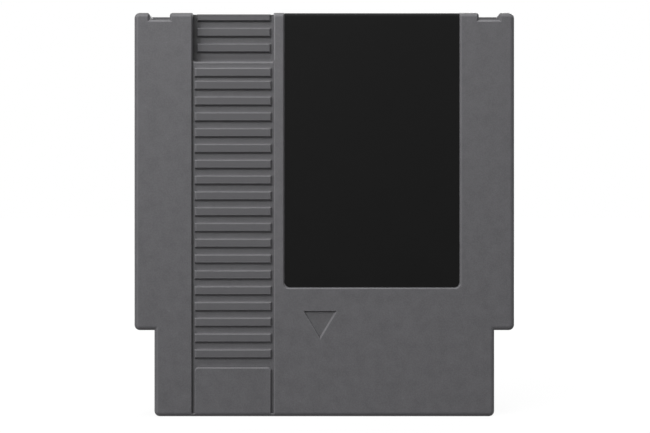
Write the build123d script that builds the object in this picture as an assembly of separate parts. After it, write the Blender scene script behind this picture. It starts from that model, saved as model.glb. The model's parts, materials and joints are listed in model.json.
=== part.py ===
from build123d import *
import os

# Game cartridge, standing on the edge that goes into the console. Millimetres.
# x runs to the right, the front faces -y, z is up, and the two halves meet at y = 0.

# Case outline seen from the front, walls and edges
case_width = 120.0
case_height = 127.5
shoulder_width = 6.3       # what the lower part is narrower by on each side
tongue_height = 27.2       # from the bottom up to the shoulders
wall = 2.0
edge_round = 1.5           # round along the rims of the front and rear faces
face_corner = 0.2          # what the outline's corners are rounder than its rims
seam_bevel = 0.25          # each side of the line where the halves meet

# Lap joint of the two halves, and the play between fitted pieces
lip_height = 1.2
lip_thickness = 0.8
fit_gap = 0.1

# Ribbed grip column, the same on both faces
column_inset = 18.3        # from the case's left side
column_width = 25.75
column_foot = 1.0          # rim left below the column
column_bevel = 0.3
groove_depth = 1.0         # between the ribs of the long stretch
grip_height = 15.4         # the deep finger grip at the top
grip_depth = 4.4
grip_corner = 1.0
step_bevel = 0.5           # edge between the grip and the long stretch
rib_pitch = 4.98
rib_height = 2.75
rib_rise = 0.95
rib_bevel = 0.3
rib_end_gap = 0.8
lead_rib_gap = 2.15        # from the step down to the uppermost long rib
grip_rib_gap = 3.3         # from the step up to the lowest grip rib
grip_rib_end_gap = 1.2
pad_height = 15.6          # smooth pad at the column's foot
pad_corner = 1.2
pad_gap = 2.9              # from the pad up to the lowest rib

# Label on the front, bent over the top edge
strip_width = 3.25         # between the grip column and the label
label_inset = 17.34        # from the case's right side
label_foot = 40.7
label_corner = 1.4
label_recess = 0.35
label_top_recess = 0.22    # on the top, where the label lies nearly flush
label_thickness = 0.13
label_margin = 0.08        # between the label and the rim of its recess
label_over_top = 6.5       # how far back it runs on the top
rear_label_gap = 8.0       # rear recess: from the top edge, and from the upper screw

# Arrow sunk below the label
arrow_width = 10.7
arrow_height = 9.0
arrow_inset = 6.05         # from the label's left edge
arrow_drop = 7.3           # from the label's foot
arrow_depth = 0.6
arrow_draft = 35.0         # degrees, on its sides

# Notches in the front half's top edge, and the clips under them
notch_inset = 5.0
notch_width = 6.25
notch_depth = 2.3
notch_bevel = 0.7
notch_corner = 1.2
clip_width = 5.0
clip_thickness = 1.4
clip_reach = 4.5
clip_barb = 0.6
clip_barb_run = 1.2
clip_root = 3.0

# Mouth for the console's connector
mouth_side = 5.2           # from the tongue's sides
mouth_depth = 11.2
mouth_bevel = 0.6

# Circuit board and its edge contacts
board_thickness = 1.2
board_gap = 0.75           # from the board's sides to the walls
board_foot = 5.0           # the contact edge's height above the bottom
board_head = 11.5          # from the upper lead row to the board's top
edge_gap = 1.5             # from the contact edge's ends to the mouth's ends
edge_height = 11.0
edge_bevel = 0.3
contact_pitch = 2.5
contact_width = 1.6
contact_length = 9.6
contact_thickness = 0.06
contact_setback = 0.6
rest_side = 5.0            # pillars that hold the board's upper corners
rest_inset = 8.0

# Chips, with two rows of leads soldered to the board
chip_length = 36.0
chip_width = 13.6
chip_thickness = 3.9
chip_rows = 15.24
chip_gap = 7.0             # between the two large chips
chip_headroom = 0.5
chip_standoff = 0.5
chip_draft = 8.0           # degrees, on the moulded sides
chip_mark = 1.8            # notch in the top at the end with lead 1
chip_mark_depth = 0.6
small_chip_length = 19.4
small_chip_width = 6.35
small_chip_thickness = 3.4
small_chip_rows = 7.62
row_gap = 4.0              # between the lead rows of large and small parts
row_rise = 5.5             # from the contact edge's shoulder to the small parts' middle
part_gap = 4.0             # between neighbours in the row of small parts
lead_pitch = 2.54
lead_width = 1.3
lead_thickness = 0.25

# Capacitors
can_diameter = 4.0
can_length = 7.0
sleeve_thickness = 0.12
bung_thickness = 1.2
wire_diameter = 0.5
wire_sides = 6
wire_spread = 2.0
wire_run = 1.8
pillow_width = 4.2
pillow_height = 3.8
pillow_thickness = 2.0
pillow_bevel = 0.5

# Screws and the posts that they draw together
post_inset = 7.2           # lower posts, from the tongue's sides
post_rise = 6.0            # upper post, above the board's top
post_side = 8.0
spigot_side = 5.6          # on the front posts, through the board
spigot_play = 0.25
well_diameter = 6.6
well_wall = 1.2
well_floor = 1.6
screw_diameter = 2.4
screw_length = 7.5
shank_sides = 12
tip_gap = 0.5
head_diameter = 5.6
flange_height = 0.7
drive_diameter = 4.2
drive_notch = 1.0          # width and twice the depth of the hollows between the lobes
drive_height = 1.5
drive_lobes = 6

# Places that follow from the sizes
half_depth = board_thickness / 2 + chip_standoff + chip_thickness + chip_headroom + wall + groove_depth
front_face = -half_depth
inner_face = front_face + wall
inside_wall = inner_face - wall / 4
beyond = 2 * front_face
above = 2 * case_height
board_face = board_thickness / 2
column_left = column_inset - case_width / 2
column_right = column_left + column_width
step_z = case_height - grip_height
label_right = case_width / 2 - label_inset
label_left = column_right + strip_width
label_width = label_right - label_left
arrow_x = label_left + arrow_inset + arrow_width / 2
arrow_top = label_foot - arrow_drop
notch_outer = case_width / 2 - notch_inset
notch_inner = notch_outer - notch_width
shelf_bottom = case_height - notch_depth - wall
tongue_width = case_width - 2 * shoulder_width
mouth_width = tongue_width - 2 * mouth_side
board_width = tongue_width - 2 * (wall + board_gap)
edge_width = mouth_width - 2 * edge_gap
edge_top = board_foot + edge_height
small_row_z = edge_top + row_rise
chip_row_z = small_row_z + small_chip_rows / 2 + row_gap + chip_rows / 2
board_top = chip_row_z + chip_rows / 2 + board_head
chip_x = (chip_length + chip_gap) / 2
post_x = tongue_width / 2 - post_inset
upper_post_z = board_top + post_rise
well_side = well_diameter + 2 * well_wall
lower_posts = [(-post_x, small_row_z), (post_x, small_row_z)]
posts = lower_posts + [(0.0, upper_post_z)]
rest_x = board_width / 2 - rest_inset
rest_z = board_top - rest_side / 2
rests = [(-rest_x, rest_z), (rest_x, rest_z)]
pillow_x = post_x - well_side / 2 - part_gap - pillow_thickness / 2
small_chip_x = pillow_x - pillow_thickness / 2 - part_gap - small_chip_length / 2
wire_x = small_chip_x - small_chip_length / 2 - part_gap
can_front = wire_x - wire_run
can_back = can_front - can_length
can_y = board_face + fit_gap + sleeve_thickness + can_diameter / 2
pillows = [(0.0, chip_row_z), (pillow_x, small_row_z)]


def rect(x0, x1, z0, z1):
    """A rectangle in the front view, between two x values and two heights."""
    return Pos((x0 + x1) / 2, (z0 + z1) / 2) * Rectangle(x1 - x0, z1 - z0)


def plate(sketch, start, end, taper=0.0):
    """A front-view sketch at y = start made solid as far as y = end, narrower there by the taper."""
    return extrude(Plane.XZ.offset(-start) * sketch, amount=start - end, taper=taper)


def rod(spot, diameter, start, end):
    """A round bar along y at an (x, z) spot."""
    return plate(Pos(*spot) * Circle(diameter / 2), start, end)


def pillar(spot, side, start, end):
    """A square bar along y at an (x, z) spot."""
    return plate(Pos(*spot) * Rectangle(side, side), start, end)


def raised(sketch, floor, rise, bevel):
    """A flat-topped bar that stands forward from a floor, with bevelled edges."""
    shelf = floor - rise + bevel
    return plate(sketch, floor, shelf) + plate(sketch, shelf, floor - rise, taper=45)


def sunk(sketch, depth, bevel):
    """A recess cut into the front face, its rim opened out by a bevel."""
    cut = plate(sketch, front_face + depth, beyond)
    return cut + plate(sketch, front_face + bevel, front_face, taper=-45)


def lower_rounded(sheet, radius):
    """A rectangle with its two lower corners rounded."""
    return fillet(sheet.vertices().group_by(Axis.Y)[0], radius)


def upper_rounded(sheet, radius):
    """A rectangle with its two upper corners rounded."""
    return fillet(sheet.vertices().group_by(Axis.Y)[-1], radius)


def case_outline(inset=0.0):
    """The stepped front-view outline with sharp corners, moved inwards all round."""
    half = case_width / 2 - inset
    tongue = tongue_width / 2 - inset
    shoulder = tongue_height + inset
    right = [(tongue, inset), (tongue, shoulder), (half, shoulder), (half, case_height - inset)]
    left = [(-x, z) for x, z in reversed(right)]
    return Polygon(*right, *left, align=None)


def rounded_outline():
    """The outline with its outer corners rounded."""
    corners = case_outline().vertices()
    outer = corners.group_by(Axis.X)[0] + corners.group_by(Axis.X)[-1] + corners.group_by(Axis.Y)[0]
    return fillet(outer, edge_round + face_corner)


def rib_bottoms():
    """Lower edges of the long stretch's ribs: an even row from the pad up, and one under the step."""
    lead = step_z - lead_rib_gap - rib_height
    first = pad_height + pad_gap
    least_gap = (rib_pitch - rib_height) / 3
    pitches = int((lead - least_gap - rib_height - first) / rib_pitch)
    return [first + rib_pitch * i for i in range(pitches + 1)] + [lead]


def grip_rib_bottoms():
    """Lower edges of the ribs in the finger grip, at the same pitch up to the top edge."""
    first = step_z + grip_rib_gap
    pitches = int((case_height - rib_height / 2 - first) / rib_pitch)
    return [first + rib_pitch * i for i in range(pitches + 1)]


def rib(bottom, floor, end_gap):
    """One rib on a floor, clear of the column's walls; the one at the top edge stops flush with it."""
    left = column_left + end_gap
    right = column_right - end_gap
    bar = rect(left, right, bottom, min(bottom + rib_height, case_height))
    return raised(bar, floor, rib_rise, rib_bevel)


def column_cut():
    """What is taken from the front face to leave the ribs, the pad and the finger grip."""
    groove_floor = front_face + groove_depth
    grip_floor = front_face + grip_depth
    stretch = rect(column_left, column_right, column_foot, above)
    grip = lower_rounded(rect(column_left, column_right, step_z, above), grip_corner)
    step = plate(grip, groove_floor + step_bevel, groove_floor, taper=-45)
    cut = sunk(stretch, groove_depth, column_bevel) + plate(grip, grip_floor, beyond)
    cut += step & plate(stretch, grip_floor, beyond)
    pad = rect(column_left + rib_end_gap, column_right - rib_end_gap, 0, pad_height)
    kept = [raised(upper_rounded(pad, pad_corner), groove_floor, groove_depth, rib_bevel)]
    kept += [rib(bottom, groove_floor, rib_end_gap) for bottom in rib_bottoms()]
    kept += [rib(bottom, grip_floor, grip_rib_end_gap) for bottom in grip_rib_bottoms()]
    return cut - kept


def cavity():
    """The hollow of one half, with full walls kept behind the column and the finger grip."""
    hollow = plate(case_outline(wall), 0, inner_face)
    back_left = column_left - wall
    back_right = column_right + wall
    groove_back = rect(back_left, back_right, -case_height, above)
    grip_back = rect(back_left, back_right, step_z - wall, above)
    hollow -= plate(groove_back, inner_face + groove_depth, beyond)
    return hollow - plate(grip_back, inner_face + grip_depth, beyond)


def mouth_cut():
    """The slot in the bottom that takes the console's connector, with a lead-in bevel."""
    slot = Rectangle(mouth_width, mouth_depth)
    straight = extrude(slot, amount=2 * wall)
    return straight + extrude(Plane.XY.offset(mouth_bevel) * slot, amount=-mouth_bevel, taper=-45)


def half_shell():
    """The front half with what both halves share: outline, hollow, grip column and mouth."""
    blank = plate(rounded_outline(), 0, front_face)
    blank = fillet(blank.faces().sort_by(Axis.Y)[0].edges(), edge_round)
    blank = chamfer(blank.faces().sort_by(Axis.Y)[-1].edges(), seam_bevel)
    return blank - cavity() - column_cut() - mouth_cut()


def lap_ring(play):
    """The lap joint's ring: the front half's lip, or with play the rebate that it enters."""
    outer = wall - lip_thickness - play
    ring = case_outline(outer) - case_outline(wall)
    ring -= rect(-case_width, case_width, 0, wall - play)
    for side in (-1, 1):
        ends = sorted((side * (notch_inner - wall + play), side * (notch_outer + wall - play)))
        ring -= rect(*ends, shelf_bottom, case_height)
    return ring


def notch_cut(side):
    """One notch in the top edge, with rounded upper corners and a bevelled front."""
    ends = sorted((side * notch_inner, side * notch_outer))
    slot = rect(*ends, case_height - notch_depth, above)
    open_top = slot + rect(ends[0] - notch_width, ends[1] + notch_width, case_height, above)
    middle = (ends[0] + ends[1]) / 2
    corners = open_top.vertices().filter_by_position(Axis.Y, case_height, case_height)
    flared = fillet(corners.sort_by(lambda corner: abs(corner.X - middle))[:2], notch_corner)
    return plate(flared, 0, beyond) + plate(slot, front_face + notch_bevel, front_face, taper=-45)


def notch_shelf(side):
    """The thickened wall under a notch, with a pocket for the clip's barb."""
    ends = sorted((side * (notch_inner - wall), side * (notch_outer + wall)))
    block = plate(rect(*ends, shelf_bottom, case_height - wall / 2), 0, inner_face - wall / 2)
    middle = side * (notch_inner + notch_width / 2)
    half = clip_width / 2 + fit_gap
    pocket = rect(middle - half, middle + half, shelf_bottom, shelf_bottom + clip_barb)
    return block - plate(pocket, clip_barb_run - clip_reach + fit_gap, -clip_reach - fit_gap)


def clip(side):
    """The rear half's arm that passes under a notch's shelf and catches it with a barb."""
    top = shelf_bottom - fit_gap
    bottom = top - clip_thickness
    tip = -clip_reach
    root = half_depth - wall
    arm = [(root, bottom), (root, case_height - wall / 2), (root - clip_root, case_height - wall / 2)]
    arm += [(root - clip_root, top), (tip + clip_barb_run, top), (tip + clip_barb_run, top + clip_barb)]
    arm += [(tip, top), (tip, bottom)]
    start = side * (notch_inner + notch_width / 2) - clip_width / 2
    return extrude(Plane.YZ.offset(start) * Polygon(*arm, align=None), amount=clip_width)


def wrap_section(raised_by, foot, back):
    """Side-view section of the case behind the label's recess, or behind its face if raised that much."""
    depth = label_recess - raised_by
    front = front_face + depth
    top = case_height - label_top_recess + raised_by
    sheet = Pos((front + back) / 2, (foot + top) / 2) * Rectangle(back - front, top - foot)
    bend = sheet.vertices().sort_by(lambda corner: corner.X - corner.Y)[0]
    return fillet(bend, edge_round - depth)


def label_recess_cut():
    """The shallow recess for the label, from its foot up the front and over the top edge."""
    sheet = rect(label_left, label_right, label_foot, above)
    front = sunk(lower_rounded(sheet, label_corner), label_recess, label_recess)
    back = front_face + label_over_top
    foot = case_height - 2 * edge_round
    outside = Pos((beyond + back) / 2, (foot + above) / 2) * Rectangle(back - beyond, above - foot)
    bend = outside - wrap_section(0, foot, back)
    return front + extrude(Plane.YZ.offset(label_left) * bend, amount=label_width)


def front_label():
    """The label: a thin sheet in its recess, bent over the top edge."""
    left = label_left + label_margin
    right = label_right - label_margin
    foot = label_foot + label_margin
    back = front_face + label_over_top - label_margin
    sheet = wrap_section(label_thickness, foot, back) - wrap_section(0, foot, back)
    wrapped = extrude(Plane.YZ.offset(left) * sheet, amount=right - left)
    front_view = lower_rounded(rect(left, right, foot, above), label_corner - label_margin)
    return wrapped & plate(front_view, -beyond, beyond)


def arrow_cut():
    """The sunk triangle that points at the end that goes in first."""
    half = arrow_width / 2
    corners = [(arrow_x - half, arrow_top), (arrow_x, arrow_top - arrow_height), (arrow_x + half, arrow_top)]
    triangle = Polygon(*corners, align=None)
    return plate(triangle, front_face, front_face + arrow_depth, taper=arrow_draft)


def front_shell():
    """Front half: lip, posts with spigots and screw holes, notches, label recess and arrow."""
    shell = half_shell() + plate(lap_ring(0), -lip_height, lip_height)
    for side in (-1, 1):
        shell += notch_shelf(side)
        shell -= notch_cut(side)
    for spot in rests:
        shell += pillar(spot, rest_side, inside_wall, -board_face)
    hole_end = board_face + well_floor - screw_length - tip_gap
    for spot in posts:
        shell += pillar(spot, post_side, inside_wall, -board_face)
        shell += pillar(spot, spigot_side, inside_wall, board_face)
        shell -= rod(spot, screw_diameter + 2 * fit_gap, board_face, hole_end)
    return shell - label_recess_cut() - arrow_cut()


def rear_shell():
    """Rear half: rebate, clips, screw wells, board rests and a bare label recess."""
    shell = mirror(half_shell(), about=Plane.XZ)
    shell -= plate(lap_ring(fit_gap), -fit_gap, lip_height + fit_gap)
    for side in (-1, 1):
        shell += clip(side)
    for spot in rests:
        shell += pillar(spot, rest_side, -inside_wall, board_face)
    for spot in posts:
        shell += pillar(spot, well_side, -inside_wall, board_face)
        shell -= rod(spot, well_diameter, board_face + well_floor, -beyond)
        shell -= rod(spot, screw_diameter + 4 * fit_gap, board_face, -beyond)
    foot = upper_post_z + rear_label_gap
    bare = rect(label_left, label_right, foot, case_height - rear_label_gap)
    bare = fillet(bare.vertices(), label_corner)
    return shell - mirror(sunk(bare, label_recess, label_recess), about=Plane.XZ)


def chip_body(x, z, length, width, thickness):
    """A moulded chip body, drafted both ways from its middle, with a mark at one end."""
    sheet = Pos(x, z) * Rectangle(length, width)
    bottom = board_face + chip_standoff
    top = bottom + thickness
    middle = bottom + thickness / 2
    body = plate(sheet, middle, bottom, taper=chip_draft) + plate(sheet, middle, top, taper=chip_draft)
    end = x - length / 2
    mark = rect(end - chip_mark, end + chip_mark, z - chip_mark / 2, z + chip_mark / 2)
    return body - plate(mark, top, top - chip_mark_depth)


def chip_leads(x, z, length, width, thickness, rows):
    """A chip's two rows of leads: out of its sides and bent down to the board."""
    middle = board_face + chip_standoff + thickness / 2
    side = width / 2
    near = rows / 2 - lead_thickness / 2
    far = rows / 2 + lead_thickness / 2
    under = middle - lead_thickness / 2
    over = middle + lead_thickness / 2
    outer = [(under, side), (over, side), (over, far), (board_face, far)]
    bent = Polygon(*outer, (board_face, near), (under, near), align=None)
    lead = extrude(Plane.YZ * bent, amount=lead_width / 2, both=True)
    count = int((length - lead_width) / lead_pitch) + 1
    places = [x + lead_pitch * (i - (count - 1) / 2) for i in range(count)]
    return [Pos(place, 0, z) * Rot(0, turn, 0) * lead for turn in (0, 180) for place in places]


def along_can(diameter, start, end):
    """A round bar on the lying capacitor's axis."""
    circle = Plane.YZ.offset(start) * Pos(can_y, small_row_z) * Circle(diameter / 2)
    return extrude(circle, amount=end - start)


def capacitor_can():
    """The aluminium can, as far as the bung that closes it."""
    return along_can(can_diameter, can_back, can_front - bung_thickness)


def capacitor_bung():
    """The rubber bung at the can's end."""
    return along_can(can_diameter, can_front - bung_thickness, can_front)


def capacitor_sleeve():
    """The plastic sleeve, shrunk over the can and its bung."""
    outer = along_can(can_diameter + 2 * sleeve_thickness, can_back, can_front)
    return outer - along_can(can_diameter, can_back, can_front)


def capacitor_wires():
    """Two wires out of the bung, bent down to the board."""
    wires = []
    for side in (-1, 1):
        z = small_row_z + side * wire_spread / 2
        path = Polyline((can_front, can_y, z), (wire_x, can_y, z), (wire_x, board_face, z))
        section = Plane.YZ.offset(can_front) * Pos(can_y, z) * RegularPolygon(wire_diameter / 2, wire_sides)
        wires.append(sweep(section, path=path, transition=Transition.RIGHT))
    return wires


def pillow(x, z):
    """A small dipped capacitor that stands above the board, with bevelled edges."""
    bottom = board_face + chip_standoff
    sheet = Pos(x, z) * Rectangle(pillow_thickness, pillow_width)
    block = plate(sheet, bottom, bottom + pillow_height)
    return chamfer(block.edges(), pillow_bevel)


def pillow_wires(x, z):
    """The two straight wires that such a capacitor stands on."""
    section = RegularPolygon(wire_diameter / 2, wire_sides)
    spots = [(x, z + side * lead_pitch / 2) for side in (-1, 1)]
    return [plate(Pos(*spot) * section, board_face + chip_standoff, board_face) for spot in spots]


def circuit_board():
    """The board: contact edge with a bevel, and slots at its sides for the two lower posts."""
    half = board_width / 2
    outline = rect(-half, half, edge_top, board_top)
    outline += rect(-edge_width / 2, edge_width / 2, board_foot, edge_top + row_rise)
    reach = spigot_side / 2 + spigot_play
    for x, z in lower_posts:
        side = 1 if x > 0 else -1
        outline -= rect(*sorted((x - side * reach, side * case_width)), z - reach, z + reach)
    board = plate(outline, board_face, -board_face)
    low = board.faces().sort_by(Axis.Z)[0].edges().filter_by(Axis.X)
    return chamfer(low, edge_bevel)


def contacts(face, side):
    """The row of edge contacts on one face of the board."""
    count = int(edge_width / contact_pitch - 1)
    foot = board_foot + contact_setback
    places = [contact_pitch * (i - (count - 1) / 2) for i in range(count)]
    half = contact_width / 2
    pads = [rect(x - half, x + half, foot, foot + contact_length) for x in places]
    return [plate(pad, face, face + side * contact_thickness) for pad in pads]


def case_screw(spot):
    """A security screw: shank, flange, and a head with lobes round its rim."""
    floor = board_face + well_floor
    under_head = floor + flange_height
    shank = plate(Pos(*spot) * RegularPolygon(screw_diameter / 2, shank_sides), floor, floor - screw_length)
    flange = rod(spot, head_diameter, floor, under_head)
    notches = PolarLocations(drive_diameter / 2, drive_lobes) * Rectangle(drive_notch, drive_notch)
    drive = RegularPolygon(drive_diameter / 2, 2 * drive_lobes) - notches
    return shank + flange + plate(Pos(*spot) * drive, under_head, under_head + drive_height)


large = (chip_length, chip_width, chip_thickness)
small = (small_chip_length, small_chip_width, small_chip_thickness)
nodes = {
    "front_shell": [front_shell()],
    "rear_shell": [rear_shell()],
    "front_label": [front_label()],
    "circuit_board": [circuit_board()],
    "front_contacts": contacts(-board_face, -1),
    "rear_contacts": contacts(board_face, 1),
    "program_chip": [chip_body(-chip_x, chip_row_z, *large)],
    "program_chip_leads": chip_leads(-chip_x, chip_row_z, *large, chip_rows),
    "picture_chip": [chip_body(chip_x, chip_row_z, *large)],
    "picture_chip_leads": chip_leads(chip_x, chip_row_z, *large, chip_rows),
    "lockout_chip": [chip_body(small_chip_x, small_row_z, *small)],
    "lockout_chip_leads": chip_leads(small_chip_x, small_row_z, *small, small_chip_rows),
    "power_capacitor_can": [capacitor_can()],
    "power_capacitor_sleeve": [capacitor_sleeve()],
    "power_capacitor_bung": [capacitor_bung()],
    "power_capacitor_wires": capacitor_wires(),
    "bypass_capacitors": [pillow(*spot) for spot in pillows],
    "bypass_capacitor_wires": [wire for spot in pillows for wire in pillow_wires(*spot)],
    "case_screws": [case_screw(spot) for spot in posts],
}

os.makedirs("parts", exist_ok=True)
for name, pieces in nodes.items():
    solids = [solid for piece in pieces for solid in piece.solids()]
    shape = solids[0] if len(solids) == 1 else Compound(children=solids)
    export_step(shape, f"parts/{name}.step")
    print(name, len(solids), round(sum(solid.volume for solid in solids), 2))
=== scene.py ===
# %% [markdown]
# # A game cartridge, dressed for its picture
# The solids of this cartridge come packed in real metres, standing on the edge that goes into the
# console, with the front towards -Y. Nothing here moves or resizes them. This lesson gives every
# surface its finish, makes two pieces anew that deserve finer meshes (the label and the screws), and
# sets up the light and the camera. The box of the untouched solids is kept, and the masks, the label,
# the lamps and the camera take their places from it.

# %% Load the solids as a fixed frame
import json
import bpy
import numpy as np
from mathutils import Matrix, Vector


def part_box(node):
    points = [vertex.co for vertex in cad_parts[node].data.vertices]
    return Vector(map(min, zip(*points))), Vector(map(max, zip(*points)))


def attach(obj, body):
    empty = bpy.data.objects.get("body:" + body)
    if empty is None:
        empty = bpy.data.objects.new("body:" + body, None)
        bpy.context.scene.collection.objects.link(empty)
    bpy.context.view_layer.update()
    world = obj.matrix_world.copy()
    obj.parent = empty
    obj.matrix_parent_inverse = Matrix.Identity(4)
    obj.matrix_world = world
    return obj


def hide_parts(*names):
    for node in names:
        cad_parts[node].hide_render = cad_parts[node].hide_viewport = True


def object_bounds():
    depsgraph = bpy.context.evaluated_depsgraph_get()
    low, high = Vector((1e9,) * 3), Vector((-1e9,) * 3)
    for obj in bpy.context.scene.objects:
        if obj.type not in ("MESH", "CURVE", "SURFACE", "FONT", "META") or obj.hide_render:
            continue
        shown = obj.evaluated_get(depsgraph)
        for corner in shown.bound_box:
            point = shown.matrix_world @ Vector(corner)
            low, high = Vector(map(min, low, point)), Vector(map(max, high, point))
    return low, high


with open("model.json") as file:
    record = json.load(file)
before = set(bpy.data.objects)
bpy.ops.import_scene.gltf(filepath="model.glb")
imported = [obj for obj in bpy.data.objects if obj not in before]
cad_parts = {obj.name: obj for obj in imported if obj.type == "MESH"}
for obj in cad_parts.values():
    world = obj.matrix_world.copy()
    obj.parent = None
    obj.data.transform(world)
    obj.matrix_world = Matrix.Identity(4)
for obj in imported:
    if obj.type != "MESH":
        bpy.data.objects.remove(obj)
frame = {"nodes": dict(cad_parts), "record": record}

cad_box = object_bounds()
MM = 0.001
print("nodes:", len(frame["nodes"]), "box in mm:", [round(v / MM, 2) for v in (*cad_box[0], *cad_box[1])])

# %% [markdown]
# ## Helpers for shader nodes
# A material is a small machine of nodes. Written out call by call it hides its own idea, so one helper
# adds a node, sets its properties and fills its inputs. An input can be a plain value or the output of
# another node, which is then linked. On top of it stand the few steps that every mask here is made of:
# a piece of arithmetic, a smooth ramp, a window, the overlap of two masks and a cloudy noise.

# %% Node helpers
def node(tree, kind, inputs=None, **properties):
    """Add a shader node; inputs maps a socket's name or number to a value or to another node's output."""
    made = tree.nodes.new(f"ShaderNode{kind}")
    for key, value in properties.items():
        setattr(made, key, value)
    for key, value in (inputs or {}).items():
        if isinstance(value, bpy.types.NodeSocket):
            tree.links.new(value, made.inputs[key])
        else:
            made.inputs[key].default_value = value
    return made


def math(tree, operation, *values):
    """One Math node, given by its operation and its inputs in order; returns its output."""
    return node(tree, "Math", dict(enumerate(values)), operation=operation).outputs[0]


def overlap(tree, first, second):
    """Where two masks are both strong: their product."""
    return math(tree, "MULTIPLY", first, second)


def ramp(tree, value, low, high, to_low=0.0, to_high=1.0):
    """A clamped smooth step: value from low to high becomes to_low to to_high."""
    inputs = {"Value": value, "From Min": low, "From Max": high, "To Min": to_low, "To Max": to_high}
    return node(tree, "MapRange", inputs, interpolation_type="SMOOTHSTEP").outputs["Result"]


def within(tree, value, low, high, soft):
    """1 where a value lies between low and high, fading to 0 over a soft margin outside."""
    return overlap(tree, ramp(tree, value, low - soft, low), ramp(tree, value, high + soft, high))


def noise(tree, place, size, detail=2.0, roughness=0.5):
    """Cloudy noise from 0 to 1 whose blobs are about one size across, in metres."""
    scale = math(tree, "DIVIDE", 1.0, size)
    inputs = {"Vector": place, "Scale": scale, "Detail": detail, "Roughness": roughness}
    return node(tree, "TexNoise", inputs).outputs["Fac"]


print("node helpers ready")

# %% [markdown]
# ## Starting a node group
# An effect that several materials share is built once as a node group and placed in each of them with
# values of its own. Its sockets are declared on its interface, so a material only sees names such as
# Grain Size. The same lines could be repeated in each material, but then a change would have to be made
# in each.

# %% Group helper
def new_group(name, inputs, outputs):
    """Start a shader node group; inputs maps names to default values, outputs names to socket kinds."""
    group = bpy.data.node_groups.new(name, "ShaderNodeTree")
    for key, value in inputs.items():
        group.interface.new_socket(key, in_out="INPUT", socket_type="NodeSocketFloat").default_value = value
    for key, kind in outputs.items():
        group.interface.new_socket(key, in_out="OUTPUT", socket_type=f"NodeSocket{kind}")
    start = group.nodes.new("NodeGroupInput").outputs
    end = group.nodes.new("NodeGroupOutput").inputs
    return group, start, end


def put_out(group, end, found):
    """Link what a group has found, by name, to its output sockets."""
    for key, value in found.items():
        group.links.new(value, end[key])
    print("group", group.name, "gives", ", ".join(found))


print("group helper ready")

# %% [markdown]
# ## Moulded grain
# A moulded part takes the texture of its mould: a fine etched grain that only shows as a soft sheen,
# over faint clouds where the resin cooled unevenly. Sculpting that would cost millions of faces, so it
# is a group of noises. Grain feeds a bump, Cloud shifts the colour, and Fleck marks a few pale specks
# where the grain has been rubbed. Object coordinates are in metres, so the sizes are real.

# %% Group: moulded grain
MID_TONES = (0.3, 0.7)
FLECK_DOT = (0.16, 0.05)
FLECK_AREAS = (0.55, 0.66)

grain_group, given, result = new_group(
    "moulded grain",
    {"Grain Size": 0.4 * MM, "Cloud Size": 5.0 * MM, "Fleck Size": 2.5 * MM},
    {"Grain": "Float", "Cloud": "Float", "Fleck": "Float"},
)
place = node(grain_group, "TexCoord").outputs["Object"]
fine = noise(grain_group, place, given["Grain Size"], detail=3.0, roughness=0.6)
cloud = noise(grain_group, place, given["Cloud Size"], detail=4.0, roughness=0.55)
areas = noise(grain_group, place, given["Cloud Size"], detail=1.0)
fleck_scale = math(grain_group, "DIVIDE", 1.0, given["Fleck Size"])
fleck = node(grain_group, "TexVoronoi", {"Vector": place, "Scale": fleck_scale}).outputs["Distance"]
dots = ramp(grain_group, fleck, *FLECK_DOT)
put_out(grain_group, result, {
    "Grain": fine,
    "Cloud": ramp(grain_group, cloud, *MID_TONES),
    "Fleck": overlap(grain_group, dots, ramp(grain_group, areas, *FLECK_AREAS)),
})

# %% [markdown]
# ## Outer edges, rims and corners
# Hands polish the outer edges of a case and dust gathers in its inner corners, but the masks of this
# group also carry painted light: a painted highlight on edges that face the lamps and painted shade in
# corners. Vertex paint would need a dense mesh, so this group asks the ray tracer instead. A Bevel node
# gives the normal that the surface would have if its edges were rounder, and where that differs from the
# true normal there is an edge. The outer-edge mask reaches further than the rounding itself, so it has
# a Bevel node of its own. Ambient occlusion tells open places from closed ones: outer edges and open
# faces lie in the open, grooves in half shade and corners deep inside. The rim mask marks the gentle
# slopes of a rounded border that look up or left, towards the lamps, for a painted highlight. The
# rounder normal comes out too, because no moulded edge is knife sharp.

# %% Group: edge and corner masks
TRACE_SAMPLES = 6
EDGE_TURN = (0.998, 0.9)
EDGE_SKY = (0.55, 0.9)
WEAR_BREAKS = (0.25, 0.55)
CORNER_SKY = (0.85, 0.35)
GROOVE_SKY = (0.97, 0.8)
GROOVE_END = (0.4, 0.6)
OPEN_SKY = (0.85, 0.97)
GENTLE = 0.14
STEEP = 0.34
SLOPE_SOFT = 0.05

edge_group, given, result = new_group(
    "edge and corner masks",
    {"Radius": 0.15 * MM, "Wear Radius": 0.4 * MM, "Corner Reach": 1.5 * MM, "Break Size": 3.0 * MM},
    {"Outer Edge": "Float", "Rim Highlight": "Float", "Corner": "Float", "Groove": "Float", "Open": "Float",
     "Normal": "Vector"},
)
place = node(edge_group, "TexCoord").outputs["Object"]
straight = node(edge_group, "NewGeometry").outputs["Normal"]
rounder = node(edge_group, "Bevel", {"Radius": given["Radius"]}, samples=TRACE_SAMPLES).outputs["Normal"]
worn = node(edge_group, "Bevel", {"Radius": given["Wear Radius"]}, samples=TRACE_SAMPLES).outputs["Normal"]
agree = node(edge_group, "VectorMath", {0: worn, 1: straight}, operation="DOT_PRODUCT").outputs["Value"]
reach = {"Distance": given["Corner Reach"]}
sky = node(edge_group, "AmbientOcclusion", reach, samples=TRACE_SAMPLES).outputs["AO"]
breaks = noise(edge_group, place, given["Break Size"], detail=4.0, roughness=0.65)
outer = overlap(edge_group, ramp(edge_group, agree, *EDGE_TURN), ramp(edge_group, sky, *EDGE_SKY))
facing = node(edge_group, "SeparateXYZ", {0: straight}).outputs
# Painted highlight: the gentle slopes of rounded rims that face left or up, towards the lamps.
leftward = within(edge_group, facing["X"], -STEEP, -GENTLE, SLOPE_SOFT)
upward = within(edge_group, facing["Z"], GENTLE, STEEP, SLOPE_SOFT)
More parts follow.
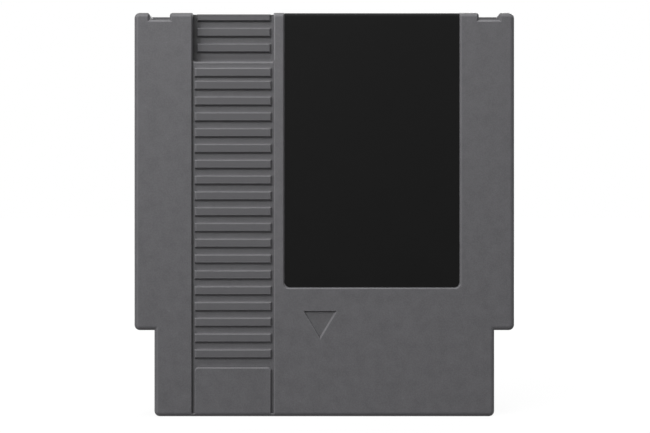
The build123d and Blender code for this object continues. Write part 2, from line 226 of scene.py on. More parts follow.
put_out(edge_group, result, {
    "Outer Edge": overlap(edge_group, outer, ramp(edge_group, breaks, *WEAR_BREAKS)),
    "Rim Highlight": math(edge_group, "MAXIMUM", leftward, upward),
    "Corner": ramp(edge_group, sky, *CORNER_SKY),
    "Groove": overlap(edge_group, ramp(edge_group, sky, *GROOVE_SKY), ramp(edge_group, sky, *GROOVE_END)),
    "Open": ramp(edge_group, sky, *OPEN_SKY),
    "Normal": rounder,
})

# %% [markdown]
# ## One start for every material
# Each finish is a Principled shader with its constant numbers set straight on its sockets. What varies
# over the surface arrives through nodes. The first helper makes the material and puts it on every node
# of the record that names its slot, so a finish is decided in one place. The others mix colours, turn a
# height into a bump and link the results to the shader.

# %% Material helpers
slot_of = {part["node"]: part["material_slot"] for part in frame["record"]["subparts"]}
finishes = {}


def new_finish(slot, **constants):
    """A node material for one slot of the record; returns its tree and its Principled shader."""
    material = bpy.data.materials.new(slot)
    material.use_nodes = True
    tree = material.node_tree
    shader = tree.nodes["Principled BSDF"]
    for key, value in constants.items():
        shader.inputs[key.replace("_", " ")].default_value = value
    finishes[slot] = material
    users = [name for name, used in slot_of.items() if used == slot]
    for name in users:
        frame["nodes"][name].material_slots[0].material = material
    print(slot, "on", ", ".join(users))
    return tree, shader


def blend(tree, share, first, second):
    """Mix two colours, each a socket or three numbers, by a share from 0 to 1."""
    colours = [c if isinstance(c, bpy.types.NodeSocket) else (*c, 1.0) for c in (first, second)]
    inputs = {0: share, 6: colours[0], 7: colours[1]}
    return node(tree, "Mix", inputs, data_type="RGBA").outputs[2]


def bump(tree, height, depth, normal=None):
    """A Bump node: a height from 0 to 1 stands for so many metres of relief."""
    inputs = {"Height": height, "Distance": depth, "Strength": 1.0}
    if normal is not None:
        inputs["Normal"] = normal
    return node(tree, "Bump", inputs).outputs["Normal"]


def feed(tree, shader, **sockets):
    """Link outputs to the shader's inputs; an underscore in a name stands for a space."""
    for key, value in sockets.items():
        tree.links.new(value, shader.inputs[key.replace("_", " ")])


print("slots to finish:", ", ".join(sorted(set(slot_of.values()))))

# %% [markdown]
# ## Places on the grip column
# Both halves are moulded in a mid grey resin. The marks laid on it are partly real wear and dust and
# partly painted shade and painted highlights, so the next two cells find their places from the object's
# own coordinates. First comes the grip column: the ribs that a thumb pulls on, the finger grip at the top
# with its deep left corner, and the dark line beside the ribs. Each is a window in x and z with soft
# margins. Painting a mask by hand would look the same, but a window in real millimetres can be read and
# changed.

# %% Masks: grip column
SOFT = 0.2 * MM
CRISP = 0.05 * MM
CASE_TOP = cad_box[1].z
RIBS_LEFT = -40.1 * MM
RIBS_RIGHT = -17.1 * MM
RIBS_FOOT = 16.0 * MM
GRIP_LEFT = -41.75 * MM
GRIP_FOOT = 112.5 * MM
CORNER_RIGHT = -39.5 * MM
LINE_LEFT = -41.65 * MM
LINE_RIGHT = -41.35 * MM

tree, shader = new_finish("case_plastic", Specular_IOR_Level=0.2)
place = node(tree, "SeparateXYZ", {0: node(tree, "TexCoord").outputs["Object"]}).outputs
upper = within(tree, place["Z"], GRIP_FOOT, CASE_TOP, SOFT)
lower = within(tree, place["Z"], 0.0, GRIP_FOOT, SOFT)
rib_height = within(tree, place["Z"], RIBS_FOOT, CASE_TOP, SOFT)
on_ribs = overlap(tree, within(tree, place["X"], RIBS_LEFT, RIBS_RIGHT, SOFT), rib_height)
in_grip = overlap(tree, within(tree, place["X"], GRIP_LEFT, RIBS_RIGHT, SOFT), upper)
in_corner = overlap(tree, within(tree, place["X"], GRIP_LEFT, CORNER_RIGHT, SOFT), upper)
on_line = overlap(tree, within(tree, place["X"], LINE_LEFT, LINE_RIGHT, CRISP), lower)
print("grip column from", round(GRIP_LEFT / MM, 2), "to", round(RIBS_RIGHT / MM, 2), "mm across")

# %% [markdown]
# ## Places beside the label
# The other marks lie on the front only, so they also fade out with the depth: the strip between the
# ribs and the label, with painted light on its face and a painted highlight on its left edge, the rim
# right of the label with a painted highlight, and the sunk arrow, with painted shade inside and a
# painted highlight on its right side. The top edge gets painted shade all round.

# %% Masks: strip, arrow and rims
FRONT_FROM = -4.0 * MM
FRONT_FULL = -5.0 * MM
STRIP_EDGE = -15.65 * MM
STRIP_LEFT = -15.6 * MM
STRIP_RIGHT = -12.9 * MM
STRIP_DULL = 35.0 * MM
STRIP_PALE = 50.0 * MM
RECESS_LEFT = 43.05 * MM
RECESS_RIGHT = 43.35 * MM
RECESS_FOOT = 41.0 * MM
ARROW_LOW = (-7.0 * MM, -8.3 * MM, 22.0 * MM)
ARROW_HIGH = (5.0 * MM, -7.2 * MM, 36.0 * MM)
TOP_SHADE_BAND = 0.6 * MM

in_front = ramp(tree, place["Y"], FRONT_FROM, FRONT_FULL)
strip_line = within(tree, place["X"], STRIP_EDGE - CRISP, STRIP_EDGE + CRISP, SOFT)
strip_edge = overlap(tree, strip_line, in_front)
# Painted light on the strip's face, paler towards the top.
strip_height = overlap(tree, in_front, ramp(tree, place["Z"], STRIP_DULL, STRIP_PALE))
strip_painted_light = overlap(tree, within(tree, place["X"], STRIP_LEFT, STRIP_RIGHT, SOFT), strip_height)
recess_height = overlap(tree, in_front, within(tree, place["Z"], RECESS_FOOT, CASE_TOP, SOFT))
# Painted highlight on the left-facing recess wall right of the label.
recess_rim_highlight = overlap(tree, within(tree, place["X"], RECESS_LEFT, RECESS_RIGHT, CRISP), recess_height)
arrow_x, arrow_y, arrow_z = (within(tree, place[i], ARROW_LOW[i], ARROW_HIGH[i], CRISP) for i in range(3))
in_arrow = overlap(tree, overlap(tree, arrow_x, arrow_y), arrow_z)
facing_x = node(tree, "SeparateXYZ", {0: node(tree, "NewGeometry").outputs["Normal"]}).outputs["X"]
# Painted highlight on the arrow's right side, which faces left.
arrow_side_highlight = overlap(tree, in_arrow, ramp(tree, facing_x, -GENTLE, -STEEP))
# Painted shade along the top edge, all round.
top_painted_shade = within(tree, place["Z"], CASE_TOP - TOP_SHADE_BAND, CASE_TOP, SOFT)
print("masks on the case use", len(tree.nodes), "nodes")

# %% [markdown]
# ## The case's grey plastic
# The resin is even and matte, but close up it is not flat: clouds shift the grey by some percent and a
# fine speckle lies over them. Then come layers, each a mask, the share it gets and the tone it brings.
# Open rib faces get painted shade that grows towards the grip. Outer edges get real wear and a painted
# highlight, the sloping rims that face up or left get a painted highlight, and corners get painted shade.
# Between the ribs a pale tone, partly dust and partly painted light, lifts the shade. The roughness
# follows the same clouds, so the sheen is broken up as on a real case.

# %% Finish: case plastic
CASE_GREY = (0.1058, 0.1042, 0.1107)
CASE_DARK = (0.0915, 0.0901, 0.0957)
# Pale tone for real wear and specks, and for painted highlights and painted light.
CASE_WEAR_AND_HIGHLIGHT = (0.205, 0.202, 0.212)
RIB_SHADE_TONE = (0.090, 0.0886, 0.0941)
# Dark tone for painted shade.
PAINTED_SHADE_TONE = (0.05, 0.049, 0.048)
DEEP_PAINTED_SHADE = (0.03, 0.0295, 0.029)
CASE_CLOUDS = 4.0 * MM
CASE_RELIEF = 0.016 * MM
CASE_ROUGH = (0.42, 0.52)
WHOLE = (0.0, 1.0)
SPECKLE_GRAIN = (0.35, 0.65)
SPECKLE_SHARE = (0.02, 0.16)
RIB_SHADE_SHARE = (0.55, 0.95)
STRIP_HIGHLIGHT_SHARE = (0.15, 0.9)

grain = node(tree, "Group", {"Cloud Size": CASE_CLOUDS}, node_tree=grain_group).outputs
edges = node(tree, "Group", node_tree=edge_group).outputs
# Painted shade on the open rib faces, stronger towards the finger grip.
rib_shade_rise = ramp(tree, place["Z"], RIBS_FOOT, GRIP_FOOT, *RIB_SHADE_SHARE)
painted_rib_shade = overlap(tree, rib_shade_rise, overlap(tree, on_ribs, edges["Open"]))
# Painted highlight on the strip's left edge, strongest beside the finger grip.
strip_edge_highlight = overlap(tree, strip_edge, ramp(tree, upper, *WHOLE, *STRIP_HIGHLIGHT_SHARE))
# Painted shadow of the grip's left wall, in its deep corner.
grip_corner_shadow = overlap(tree, in_corner, math(tree, "SUBTRACT", 1.0, edges["Open"]))
grip_corner_shade = overlap(tree, in_corner, edges["Corner"])
# Between the ribs a pale tone, partly dust, partly painted light that lifts the shade in corners and grooves.
corner_dust_and_light = overlap(tree, on_ribs, edges["Corner"])
groove_dust_and_light = overlap(tree, on_ribs, edges["Groove"])
layers = [
    (grain["Fleck"], 0.20, CASE_WEAR_AND_HIGHLIGHT),
    # Painted shade on the open rib faces.
    (painted_rib_shade, 1.00, RIB_SHADE_TONE),
    # Outer edges: partly real wear, partly a painted highlight along the edges.
    (edges["Outer Edge"], 0.75, CASE_WEAR_AND_HIGHLIGHT),
    (edges["Rim Highlight"], 0.22, CASE_WEAR_AND_HIGHLIGHT),
    # Painted light on the strip's face.
    (strip_painted_light, 0.08, CASE_WEAR_AND_HIGHLIGHT),
    # Painted highlight on the strip's left edge.
    (strip_edge_highlight, 1.00, CASE_WEAR_AND_HIGHLIGHT),
    # Painted shade: inner corners by ambient occlusion, the finger grip, the sunk arrow, the line beside the
    # ribs.
    (edges["Corner"], 0.12, PAINTED_SHADE_TONE),
    (in_grip, 0.04, PAINTED_SHADE_TONE),
    # Painted shadow in the grip's deep left corner.
    (grip_corner_shadow, 0.45, DEEP_PAINTED_SHADE),
    (grip_corner_shade, 0.40, DEEP_PAINTED_SHADE),
    (in_arrow, 0.12, PAINTED_SHADE_TONE),
    (on_line, 0.70, PAINTED_SHADE_TONE),
    # Painted shade along the top edge.
    (top_painted_shade, 0.45, PAINTED_SHADE_TONE),
    (corner_dust_and_light, 0.75, CASE_WEAR_AND_HIGHLIGHT),
    (groove_dust_and_light, 0.08, CASE_WEAR_AND_HIGHLIGHT),
    # Painted highlight on the arrow's right side.
    (arrow_side_highlight, 0.32, CASE_WEAR_AND_HIGHLIGHT),
    # Painted highlight right of the label.
    (recess_rim_highlight, 0.25, CASE_WEAR_AND_HIGHLIGHT),
]
colour = blend(tree, grain["Cloud"], CASE_DARK, CASE_GREY)
speckle = ramp(tree, grain["Grain"], *SPECKLE_GRAIN, *SPECKLE_SHARE)
colour = blend(tree, speckle, colour, CASE_WEAR_AND_HIGHLIGHT)
for mask, share, tone in layers:
    colour = blend(tree, overlap(tree, mask, share), colour, tone)
rough = ramp(tree, grain["Cloud"], *WHOLE, *CASE_ROUGH)
relief = bump(tree, grain["Grain"], CASE_RELIEF, edges["Normal"])
feed(tree, shader, Base_Color=colour, Roughness=rough, Normal=relief)
print("case plastic has", len(layers), "layers over its clouds")

# %% [markdown]
# ## The label's black paper
# The label is plain black coated paper. Its surface has a fine tooth, so a small grain roughens the
# coat, wide clouds shift its black a little, and handling leaves it greyer along its edges. The colour
# is no pure black: coated paper still returns about half a percent of the light, and a faint sheen on
# top of that.

# %% Finish: label paper
LABEL_BLACK = (0.0054, 0.0054, 0.0054)
LABEL_GREYER = (0.0066, 0.0066, 0.0066)
LABEL_EDGE = (0.020, 0.020, 0.020)
LABEL_WEAR = 0.06 * MM
LABEL_WEAR_SHARE = 0.5
LABEL_ROUGH = (0.5, 0.6)
LABEL_RELIEF = 0.004 * MM

tree, shader = new_finish("label_black", Specular_IOR_Level=0.06)
grain_sizes = {"Grain Size": 0.25 * MM, "Cloud Size": 14.0 * MM}
edge_sizes = {"Radius": LABEL_WEAR, "Wear Radius": LABEL_WEAR, "Break Size": 5.0 * MM}
grain = node(tree, "Group", grain_sizes, node_tree=grain_group).outputs
edges = node(tree, "Group", edge_sizes, node_tree=edge_group).outputs
colour = blend(tree, grain["Cloud"], LABEL_BLACK, LABEL_GREYER)
colour = blend(tree, overlap(tree, edges["Outer Edge"], LABEL_WEAR_SHARE), colour, LABEL_EDGE)
rough = ramp(tree, grain["Cloud"], *WHOLE, *LABEL_ROUGH)
feed(tree, shader, Base_Color=colour, Roughness=rough, Normal=bump(tree, grain["Grain"], LABEL_RELIEF))

# %% [markdown]
# ## The circuit board
# Board resist is a clear green lacquer over copper, so tracks show as paler, slightly raised lines.
# They run up from the contacts at the contacts' own pitch, which a little arithmetic on the x
# coordinate gives without drawing a single line: the distance to the nearest multiple of the pitch, cut
# off at half a track's width.

# %% Finish: circuit board
CONTACT_PITCH = 2.5 * MM
TRACK_WIDTH = 0.7 * MM
TRACK_BLUR = 0.1 * MM
TRACK_RELIEF = 0.03 * MM
BOARD_GREEN = (0.020, 0.110, 0.045)
TRACK_GREEN = (0.045, 0.190, 0.080)
BOARD_ROUGH = (0.25, 0.4)

tree, shader = new_finish("board_green", Specular_IOR_Level=0.45)
grain = node(tree, "Group", {"Cloud Size": 18.0 * MM}, node_tree=grain_group).outputs
across = node(tree, "SeparateXYZ", {0: node(tree, "TexCoord").outputs["Object"]}).outputs["X"]
nearest = math(tree, "PINGPONG", across, CONTACT_PITCH / 2)
centred = math(tree, "SUBTRACT", CONTACT_PITCH / 2, nearest)
track = ramp(tree, centred, TRACK_WIDTH / 2, TRACK_WIDTH / 2 - TRACK_BLUR)
colour = blend(tree, track, BOARD_GREEN, TRACK_GREEN)
rough = ramp(tree, grain["Cloud"], *WHOLE, *BOARD_ROUGH)
feed(tree, shader, Base_Color=colour, Roughness=rough, Normal=bump(tree, track, TRACK_RELIEF))

# %% [markdown]
# ## Metals
# The contacts are gold plate scratched lengthwise each time the cartridge slides into its socket.
# Leads, wires and screws are tinned or zinc plated, with a mottled crystal sheen. One function covers
# them: a metal's two shades, the direction in which its scratches run, and its range of roughness.

# %% Finishes: contacts, leads, can and screws
SCRATCH_SIZE = 0.12 * MM
SCRATCH_RELIEF = 0.002 * MM
MOTTLE_SIZE = 2.0 * MM
ALONG_Z = (1.0, 1.0, 0.03)
EVEN = (0.35, 0.35, 0.35)


def metal_finish(slot, pale, dull, stretch, rough_range):
    """A metal whose colour follows clouds, and its roughness a noise stretched along the scratches."""
    tree, shader = new_finish(slot, Metallic=1.0)
    place = node(tree, "TexCoord").outputs["Object"]
    along = node(tree, "Mapping", {"Vector": place, "Scale": stretch}).outputs["Vector"]
    scratch = noise(tree, along, SCRATCH_SIZE, detail=4.0, roughness=0.7)
    mottle = noise(tree, place, MOTTLE_SIZE, detail=3.0)
    colour = blend(tree, ramp(tree, mottle, *MID_TONES), pale, dull)
    rough = ramp(tree, scratch, *MID_TONES, *rough_range)
    feed(tree, shader, Base_Color=colour, Roughness=rough, Normal=bump(tree, scratch, SCRATCH_RELIEF))


metal_finish("contact_gold", (0.80, 0.58, 0.24), (0.62, 0.42, 0.16), ALONG_Z, (0.18, 0.38))
metal_finish("lead_metal", (0.62, 0.62, 0.60), (0.48, 0.48, 0.46), EVEN, (0.25, 0.45))
metal_finish("can_aluminium", (0.72, 0.72, 0.74), (0.60, 0.60, 0.62), EVEN, (0.25, 0.4))
metal_finish("screw_steel", (0.56, 0.55, 0.52), (0.42, 0.41, 0.38), EVEN, (0.28, 0.48))

# %% [markdown]
# ## Small parts on the board
# Chips are black moulded epoxy with a finer and deeper grain than the case. The capacitors have a
# shrunk blue film, a rubber bung and a dipped brown coat with an orange-peel skin. They hide in the
# dark behind the mouth, yet a reader who opens the case will find each one finished, so they share one
# short function.

# %% Finishes: chips and capacitors
COAT_CLOUDS = 3.0 * MM


def coated_finish(slot, first, second, rough_range, grain_size, relief, specular):
    """A moulded or dipped coat: two shades in clouds, a range of roughness, a grain's size and relief in
    millimetres."""
    tree, shader = new_finish(slot, Specular_IOR_Level=specular)
    sizes = {"Grain Size": grain_size * MM, "Cloud Size": COAT_CLOUDS}
    grain = node(tree, "Group", sizes, node_tree=grain_group).outputs
    colour = blend(tree, grain["Cloud"], first, second)
    rough = ramp(tree, grain["Cloud"], *WHOLE, *rough_range)
    feed(tree, shader, Base_Color=colour, Roughness=rough, Normal=bump(tree, grain["Grain"], relief * MM))


coated_finish("chip_black", (0.016, 0.016, 0.018), (0.024, 0.024, 0.026), (0.5, 0.65), 0.2, 0.02, 0.4)
coated_finish("sleeve_blue", (0.014, 0.045, 0.18), (0.022, 0.06, 0.24), (0.2, 0.35), 0.8, 0.01, 0.5)
coated_finish("bung_rubber", (0.016, 0.016, 0.016), (0.03, 0.03, 0.03), (0.7, 0.85), 0.15, 0.02, 0.3)
coated_finish("capacitor_ceramic", (0.42, 0.20, 0.05), (0.50, 0.26, 0.08), (0.25, 0.4), 0.7, 0.04, 0.5)

# %% [markdown]
# ## From numpy arrays to a piece
# New pieces are surfaces on a grid. A grid of rows and columns of points has one quad between each four
# neighbours, so the faces can be written as whole arrays of indices. The columns close on themselves,
# as round a screw. Caps close the ends, so that the mesh is a solid skin with nothing loose. Two sums
# prove it. Going round each triangle, every edge of a closed skin is walked once each way, or one of
# its faces is turned over. And if the faces point outwards, the volume is positive.

# %% Mesh helpers
def ring_quads(rows, columns):
    """Quads between neighbours of rings of points, numbered ring by ring; the last column joins the first."""
    index = np.arange(rows * columns).reshape(rows, columns)
    right = np.roll(index, -1, axis=1)
    return np.stack([index[:-1], right[:-1], right[1:], index[1:]], axis=-1).reshape(-1, 4)


def skin_facts(mesh):
    """How many steps along a triangle's edge lack a step back along it, and the volume: the sum of each
    triangle's box product over six."""
    mesh.calc_loop_triangles()
    place = np.empty((len(mesh.vertices), 3))
    mesh.vertices.foreach_get("co", place.ravel())
    corners = np.empty((len(mesh.loop_triangles), 3), int)
    mesh.loop_triangles.foreach_get("vertices", corners.ravel())
    there = corners * len(place) + np.roll(corners, -1, axis=1)
    back = np.roll(corners, -1, axis=1) * len(place) + corners
    first, second, third = (place[corners[:, i]] for i in range(3))
    loose = int(np.isin(there, back, invert=True).sum())
    return loose, float((np.cross(first, second) * third).sum() / 6)


def make_piece(name, slot, points, faces, replaced):
    """Put points and faces into a mesh, smooth it, give it its finish and let it stand for a CAD node."""
    mesh = bpy.data.meshes.new(name)
    mesh.from_pydata(points.reshape(-1, 3).tolist(), [], faces)
    mesh.validate()
    mesh.polygons.foreach_set("use_smooth", np.ones(len(mesh.polygons), bool))
    mesh.materials.append(finishes[slot])
    loose, volume = skin_facts(mesh)
    piece = bpy.data.objects.new(name, mesh)
    bpy.context.scene.collection.objects.link(piece)
    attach(piece, "root")
    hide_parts(replaced)
    print(name, len(mesh.polygons), "faces, loose edges", loose, "volume", round(volume / MM**3, 1), "mm3")


print("quads of two rings of three points:", ring_quads(2, 3).tolist())

# %% [markdown]
# ## The label's path
# The label is a sheet of paper that climbs the front, bends over the top edge and lies on the top. A
# flat sheet with a bend modifier would do too, but then the bend has to be fitted to the case. So the
# sheet follows a path instead: s measures the way from the label's foot, up the front, round the bend
# and back over the top. The sheet starts a hair above the solid's foot, because the real one leaves a
# fine gap there.

# %% Label: path
RIM_ROUND = 1.5 * MM
LABEL_CORNER = 1.7 * MM
LABEL_LIFT = 0.1 * MM
CORNER_ROWS = 14
BODY_ROWS = 60
BEND_ROWS = 14
TOP_ROWS = 8

label_low, label_high = (np.array(corner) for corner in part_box("front_label"))
label_low[2] += LABEL_LIFT
label_bend = RIM_ROUND - (label_low[1] - cad_box[0].y)
label_climb = label_high[2] - label_bend - label_low[2]


def label_path(s):
    """Way s along the label's face: up to the bend, a quarter circle, then straight back. Gives y, z and the
    outward direction, which turns with the bend."""
    turn = np.clip((s - label_climb) / label_bend, 0.0, np.pi / 2)
    back = np.maximum(s - label_climb - label_bend * np.pi / 2, 0.0)
    y = label_low[1] + label_bend * (1 - np.cos(turn)) + back
    z = label_low[2] + np.minimum(s, label_climb) + label_bend * np.sin(turn)
    return y, z, -np.cos(turn), np.sin(turn)


def label_ways():
    """Ways s that crowd at the rounded foot and round the bend, and spread out between."""
    bend_end = label_climb + label_bend * np.pi / 2
    total = bend_end + label_high[1] - label_low[1] - label_bend
    corner = LABEL_CORNER * (1 - np.cos(np.linspace(0.0, np.pi / 2, CORNER_ROWS)))
    body = np.linspace(LABEL_CORNER, label_climb, BODY_ROWS)[1:]
    bend = np.linspace(label_climb, bend_end, BEND_ROWS)[1:]
    return np.concatenate([corner, body, bend, np.linspace(bend_end, total, TOP_ROWS)[1:]])


print("label is", round(label_ways()[-1] / MM, 2), "mm long along its face, in", len(label_ways()), "rows")

# %% [markdown]
# ## The label's sheet
# A thin section like a flattened stadium is carried along that path: across the face, round one edge,
# back behind and round the other edge. Near the foot the section narrows along a circle, which rounds
# the lower corners. Paper never lies quite flat, so two long waves lower the face by up to two
# hundredths of a millimetre. They fade towards the edges, where the glue holds best.

# %% Piece: label
LABEL_THICKNESS = 0.13 * MM
LABEL_RIPPLE = 0.006 * MM
RIPPLE_ACROSS = (4.1, 2.3)
RIPPLE_ALONG = (9.0 * MM, -14.0 * MM)
RIPPLE_SHIFT = 1.0
FACE_COLUMNS = 60
EDGE_COLUMNS = 5


def label_points():
    """The stadium section at each way s. Half the width is the full half less what the corner circle takes.
    A sum of two long sines, one for each wave across and along, ripples the face."""
    s = label_ways()[:, None]
    short = LABEL_CORNER - np.minimum(s, LABEL_CORNER)
    half = (label_high[0] - label_low[0]) / 2 - (LABEL_CORNER - np.sqrt(LABEL_CORNER**2 - short**2))
    round_edge = np.linspace(-np.pi / 2, np.pi / 2, EDGE_COLUMNS + 2)[1:-1]
    edge = LABEL_THICKNESS / 2
    span = np.sin(np.linspace(-np.pi / 2, np.pi / 2, FACE_COLUMNS))
    ends, flat = np.ones(EDGE_COLUMNS), np.zeros(FACE_COLUMNS)
    face = np.concatenate([span, ends, -span, -ends])[None, :]
    bulge = np.concatenate([flat, np.cos(round_edge), flat, -np.cos(round_edge)])[None, :]
    lift = np.concatenate([flat + 1, -np.sin(round_edge), flat - 1, np.sin(round_edge)])[None, :]
    x = (label_low[0] + label_high[0]) / 2 + face * (half - edge) + bulge * edge
    first_wave = np.sin(face * RIPPLE_ACROSS[0] + s / RIPPLE_ALONG[0])
    second_wave = np.sin(face * RIPPLE_ACROSS[1] + s / RIPPLE_ALONG[1] + RIPPLE_SHIFT)
    y, z, out_y, out_z = label_path(s)
    ripple = LABEL_RIPPLE * (first_wave + second_wave - 2) * (lift > 0) * (1 - face**2)
    depth = edge * (lift - 1) + ripple
    return np.stack([x, y + out_y * depth, z + out_z * depth], axis=-1)


def flat_caps(rows, columns):
    """Quads that close the two ends of a flattened ring by joining each point to the one facing it."""
    k = np.arange(columns // 2 - 1)
    first = np.stack([k, columns - 1 - k, columns - 2 - k, k + 1], axis=-1)
    return np.concatenate([first, first[:, ::-1] + (rows - 1) * columns])


points = label_points()
rows, columns = points.shape[:2]
quads = np.concatenate([ring_quads(rows, columns), flat_caps(rows, columns)])
make_piece("front_label_sheet", "label_black", points, quads.tolist(), "front_label")

# %% [markdown]
# ## A screw's outline
# Three security screws hold the halves together. Their heads have lobes round the rim instead of a
# slot, and sit deep in wells in the back. A screw is first of all a turned part, so its outline comes
# first: a pointed tip, the shank, a flange and the drive on top of it, with soft edges. Each corner
# also says in how many steps it is reached from the one before, so that the shank gets enough rings for
# its thread.

# %% Screws: outline
SHANK_RADIUS = 1.2 * MM
TIP_LENGTH = 1.0 * MM
FLANGE_RADIUS = 2.8 * MM
FLANGE_HEIGHT = 0.7 * MM
DRIVE_RADIUS = 2.1 * MM
DRIVE_HEIGHT = 1.5 * MM
EDGE_SOFT = 0.12 * MM
END_SHARE = 0.25

screw_low, screw_high = (np.array(corner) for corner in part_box("case_screws"))
under_head = screw_high[1] - DRIVE_HEIGHT - FLANGE_HEIGHT
over_flange = under_head + FLANGE_HEIGHT


def screw_outline():
    """Radius and y along the screw's outline, from near the tip's middle to near the head's: straight lines
    from corner to corner, each cut into its own number of steps."""
    tip, top = screw_low[1], screw_high[1]
    corners = np.array([
        (END_SHARE * SHANK_RADIUS, tip, 0),
        (SHANK_RADIUS, tip + TIP_LENGTH, 8),
        (SHANK_RADIUS, under_head, 110),
        (FLANGE_RADIUS - EDGE_SOFT, under_head, 3),
        (FLANGE_RADIUS, under_head + EDGE_SOFT, 3),
        (FLANGE_RADIUS, over_flange - EDGE_SOFT, 5),
        (FLANGE_RADIUS - EDGE_SOFT, over_flange, 3),
        (DRIVE_RADIUS, over_flange, 4),
        (DRIVE_RADIUS, top - 2 * EDGE_SOFT, 8),
        (DRIVE_RADIUS - 2 * EDGE_SOFT, top, 4),
        (END_SHARE * DRIVE_RADIUS, top, 4),
    ])
    reached = np.cumsum(corners[:, 2])
    along = np.arange(reached[-1] + 1)
    return np.interp(along, reached, corners[:, 0]), np.interp(along, reached, corners[:, 1])


print("a screw's outline has", len(screw_outline()[0]), "points")

# %% [markdown]
# ## The screws' threads and heads
# The radius of a screw also depends on the angle: along the shank a ridge winds round once per pitch,
# and along the drive six hollows bite into the rim. One grid of way along the outline by angle holds
# all of it, with no separate thread to join on. The three spots come from the box of the solids: two
# low at the sides, one high in the middle.

# %% Piece: screws
THREAD_PITCH = 0.9 * MM
THREAD_DEPTH = 0.32 * MM
THREAD_SLOPE = 3
THREAD_CREST = 0.35
THREAD_FADE = 0.4
THREAD_FROM = 0.3
DRIVE_HOLLOW = 0.5 * MM
DRIVE_HOLLOWS = 6
HOLLOW_POWER = 6
DRIVE_FROM = 0.5
TURN_STEPS = 72
HAIR = 1e-9


def screw_rings(x, z):
    """The screw at one spot, ring by ring: the outline's radius, less the thread's groove and the hollows.
    The groove is a cut-off triangle wave of y over the pitch plus the angle over a turn. A hollow is an even
    power of the cosine of half the number of hollows times the angle."""
    radius, y = (column[:, None] for column in screw_outline())
    angle = np.linspace(0.0, 2 * np.pi, TURN_STEPS, endpoint=False)[None, :]
    wave = (y / THREAD_PITCH + angle / (2 * np.pi)) % 1.0
    groove = np.clip(THREAD_SLOPE * np.abs(wave - 0.5) - THREAD_CREST, 0.0, 1.0)
    fade = np.clip((under_head - y) / THREAD_PITCH - THREAD_FADE, 0.0, 1.0)
    fade = fade * (radius > THREAD_FROM * SHANK_RADIUS)
    hollow = np.cos(DRIVE_HOLLOWS / 2 * angle) ** HOLLOW_POWER
    on_drive = (radius > DRIVE_FROM * DRIVE_RADIUS) & (radius < DRIVE_RADIUS + EDGE_SOFT / 2)
    on_drive = on_drive & (y > over_flange - HAIR)
    radius = radius - THREAD_DEPTH * groove * fade - DRIVE_HOLLOW * hollow * on_drive
    return np.stack([x + radius * np.cos(angle), y + 0 * angle, z + radius * np.sin(angle)], axis=-1)


def with_middles(rings):
    """All points of the rings in one list, followed by the middles of the first and of the last ring."""
    return np.concatenate([rings.reshape(-1, 3), rings[[0, -1]].mean(axis=1)])


def screw_faces(rows, columns, start):
    """A screw's quads, and the triangles that join its first and last rings to the two middles."""
    first = np.arange(columns)
    last = first + (rows - 1) * columns
    tip, head = np.full(columns, rows * columns), np.full(columns, rows * columns + 1)
    tip_fan = np.stack([first, np.roll(first, -1), tip], axis=-1)
    head_fan = np.stack([np.roll(last, -1), last, head], axis=-1)
    sides = ring_quads(rows, columns)[:, ::-1]
    return (sides + start).tolist() + (tip_fan + start).tolist() + (head_fan + start).tolist()


spots = [
    (screw_low[0] + FLANGE_RADIUS, screw_low[2] + FLANGE_RADIUS),
    (screw_high[0] - FLANGE_RADIUS, screw_low[2] + FLANGE_RADIUS),
    ((screw_low[0] + screw_high[0]) / 2, screw_high[2] - FLANGE_RADIUS),
]
screw_list = [screw_rings(*spot) for spot in spots]
points = np.concatenate([with_middles(rings) for rings in screw_list])
rows, columns = screw_list[0].shape[:2]
starts = np.arange(len(spots)) * (rows * columns + 2)
faces = [face for start in starts for face in screw_faces(rows, columns, start)]
make_piece("case_screws_threaded", "screw_steel", points, faces, "case_screws")

# %% [markdown]
# ## The white surroundings
# The cartridge is shown on pure white. Flooding it with light until everything clips would bleach the
# grey, so white is painted where the camera, reflections and glass look, and the light that reaches the
# object stays plain. Light Path tells the kinds of ray apart.

# %% Stage: world
AMBIENT = (0.18, 0.18, 0.18)
WHITE = (1.0, 1.0, 1.0)


def seen_ray(tree):
    """1 for rays from the camera, a reflection or a glass, else 0."""
    path = node(tree, "LightPath").outputs
    seen = math(tree, "MAXIMUM", path["Is Camera Ray"], path["Is Glossy Ray"])
    return math(tree, "MAXIMUM", seen, path["Is Transmission Ray"])


world = bpy.data.worlds.new("white_room")
bpy.context.scene.world = world
world.use_nodes = True
background = world.node_tree.nodes["Background"]
room = blend(world.node_tree, seen_ray(world.node_tree), AMBIENT, WHITE)
world.node_tree.links.new(room, background.inputs["Color"])
print("the room lights the object with", AMBIENT[0], "from all sides")

# %% [markdown]
# ## The floor
# A photographer's white card shows a soft shadow where an object stands on it. Here the card glows by
# itself for the camera, a little less near the foot, and a dim matt coat on top takes the lamps' light.
# That coat is what darkens in the object's shadow. For light that bounces on to the object the floor is
# plain and dark, so that it adds no glare from below.

# %% Stage: floor
FLOOR_REACH = 30.0
GLOW_PLACE = (0.1, 0.5)
GLOW_STRENGTH = (0.93, 1.0)
FLOOR_COAT = (0.06, 0.06, 0.06)
FLOOR_BOUNCE = (0.10, 0.10, 0.10)

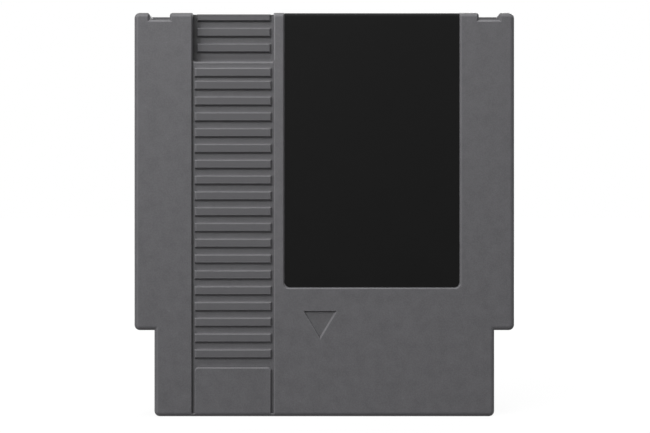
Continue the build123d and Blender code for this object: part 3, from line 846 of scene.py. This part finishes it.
material = bpy.data.materials.new("floor_white")
material.use_nodes = True
tree = material.node_tree
tree.nodes.remove(tree.nodes["Principled BSDF"])
place = node(tree, "TexCoord").outputs["Object"]
away = node(tree, "VectorMath", {0: place}, operation="LENGTH").outputs["Value"]
glow = ramp(tree, away, *GLOW_PLACE, *GLOW_STRENGTH)
coat = node(tree, "BsdfDiffuse", {"Color": (*FLOOR_COAT, 1.0)}).outputs[0]
shine = node(tree, "Emission", {"Color": (*WHITE, 1.0), "Strength": glow}).outputs[0]
seen_card = node(tree, "AddShader", {0: coat, 1: shine}).outputs[0]
bounce = node(tree, "BsdfDiffuse", {"Color": (*FLOOR_BOUNCE, 1.0)}).outputs[0]
card = node(tree, "MixShader", {0: seen_ray(tree), 1: bounce, 2: seen_card}).outputs[0]
tree.links.new(card, tree.nodes["Material Output"].inputs["Surface"])

mesh = bpy.data.meshes.new("floor")
side = np.array([-1.0, 1.0]) * FLOOR_REACH
corners = np.stack([*np.meshgrid(side, side), np.zeros((2, 2))], axis=-1).reshape(-1, 3)
mesh.from_pydata(corners.tolist(), [], [(0, 1, 3, 2)])
mesh.materials.append(material)
floor = bpy.data.objects.new("floor", mesh)
bpy.context.scene.collection.objects.link(floor)
print("floor reaches", FLOOR_REACH, "m each way")

# %% [markdown]
# ## Light
# Two soft lamps in front, one of them up to the left, give the face its even grey, a little brighter at
# the top left. Two more skim the face, from nearly overhead and from high on the left: they light the
# upper and left edges of every rib and leave the other edges dark, which is what makes the ribs
# readable. One high behind lights the back, for readers who turn the object round. All are area lamps,
# because small lamps would draw hard shadows that a soft studio does not have. They point at the middle
# of the object's box.

# %% Lamps
middle = (cad_box[0] + cad_box[1]) / 2


def lamp(name, place, size, power):
    """A square area lamp at a place, in metres and watts, turned so that it shines at the object's middle."""
    light = bpy.data.lights.new(name, "AREA")
    light.shape = "SQUARE"
    light.size = size
    light.energy = power
    made = bpy.data.objects.new(name, light)
    bpy.context.scene.collection.objects.link(made)
    made.location = place
    made.rotation_euler = (middle - made.location).to_track_quat("-Z", "Y").to_euler()
    print(name, "power", power)


lamp("key_lamp", place=(-0.328, -0.568, 0.523), size=0.40, power=3.7)
lamp("front_lamp", place=(0.0, -1.128, 0.474), size=0.50, power=1.8)
lamp("top_lamp", place=(0.0, -0.087, 0.556), size=0.20, power=1.6)
lamp("side_lamp", place=(-0.639, -0.369, 0.580), size=0.40, power=2.75)
lamp("back_lamp", place=(0.45, 0.95, 0.70), size=0.40, power=12.5)

# %% [markdown]
# ## Camera
# The picture was taken squarely from the front at about the cartridge's mid height. How far away is
# told by the notches in the top edge: through them the rear half shows, and the gap between the two
# tops is the depth of the front half seen from that distance. The lens follows from the distance and
# the size in the picture.

# %% Camera
IMAGE_WIDTH = 650
IMAGE_MIDDLE = (325.0, 216.5)
FOOT_PIXEL = (324.3, 416.98)
MM_PER_PIXEL = 0.3149
DISTANCE = 345.0 * MM
SENSOR_WIDTH = 36.0

camera_data = bpy.data.cameras.new("camera")
camera_data.sensor_width = SENSOR_WIDTH
camera_data.lens = DISTANCE / (MM_PER_PIXEL * MM) * SENSOR_WIDTH / IMAGE_WIDTH
camera = bpy.data.objects.new("camera", camera_data)
bpy.context.scene.collection.objects.link(camera)
camera.location = (
    (IMAGE_MIDDLE[0] - FOOT_PIXEL[0]) * MM_PER_PIXEL * MM,
    cad_box[0].y - DISTANCE,
    (FOOT_PIXEL[1] - IMAGE_MIDDLE[1]) * MM_PER_PIXEL * MM,
)
camera.rotation_euler = (np.pi / 2, 0.0, 0.0)
bpy.context.scene.camera = camera
bpy.context.scene.view_settings.view_transform = "Standard"
print("lens", round(camera_data.lens, 2), "mm at", [round(v / MM, 1) for v in camera.location])
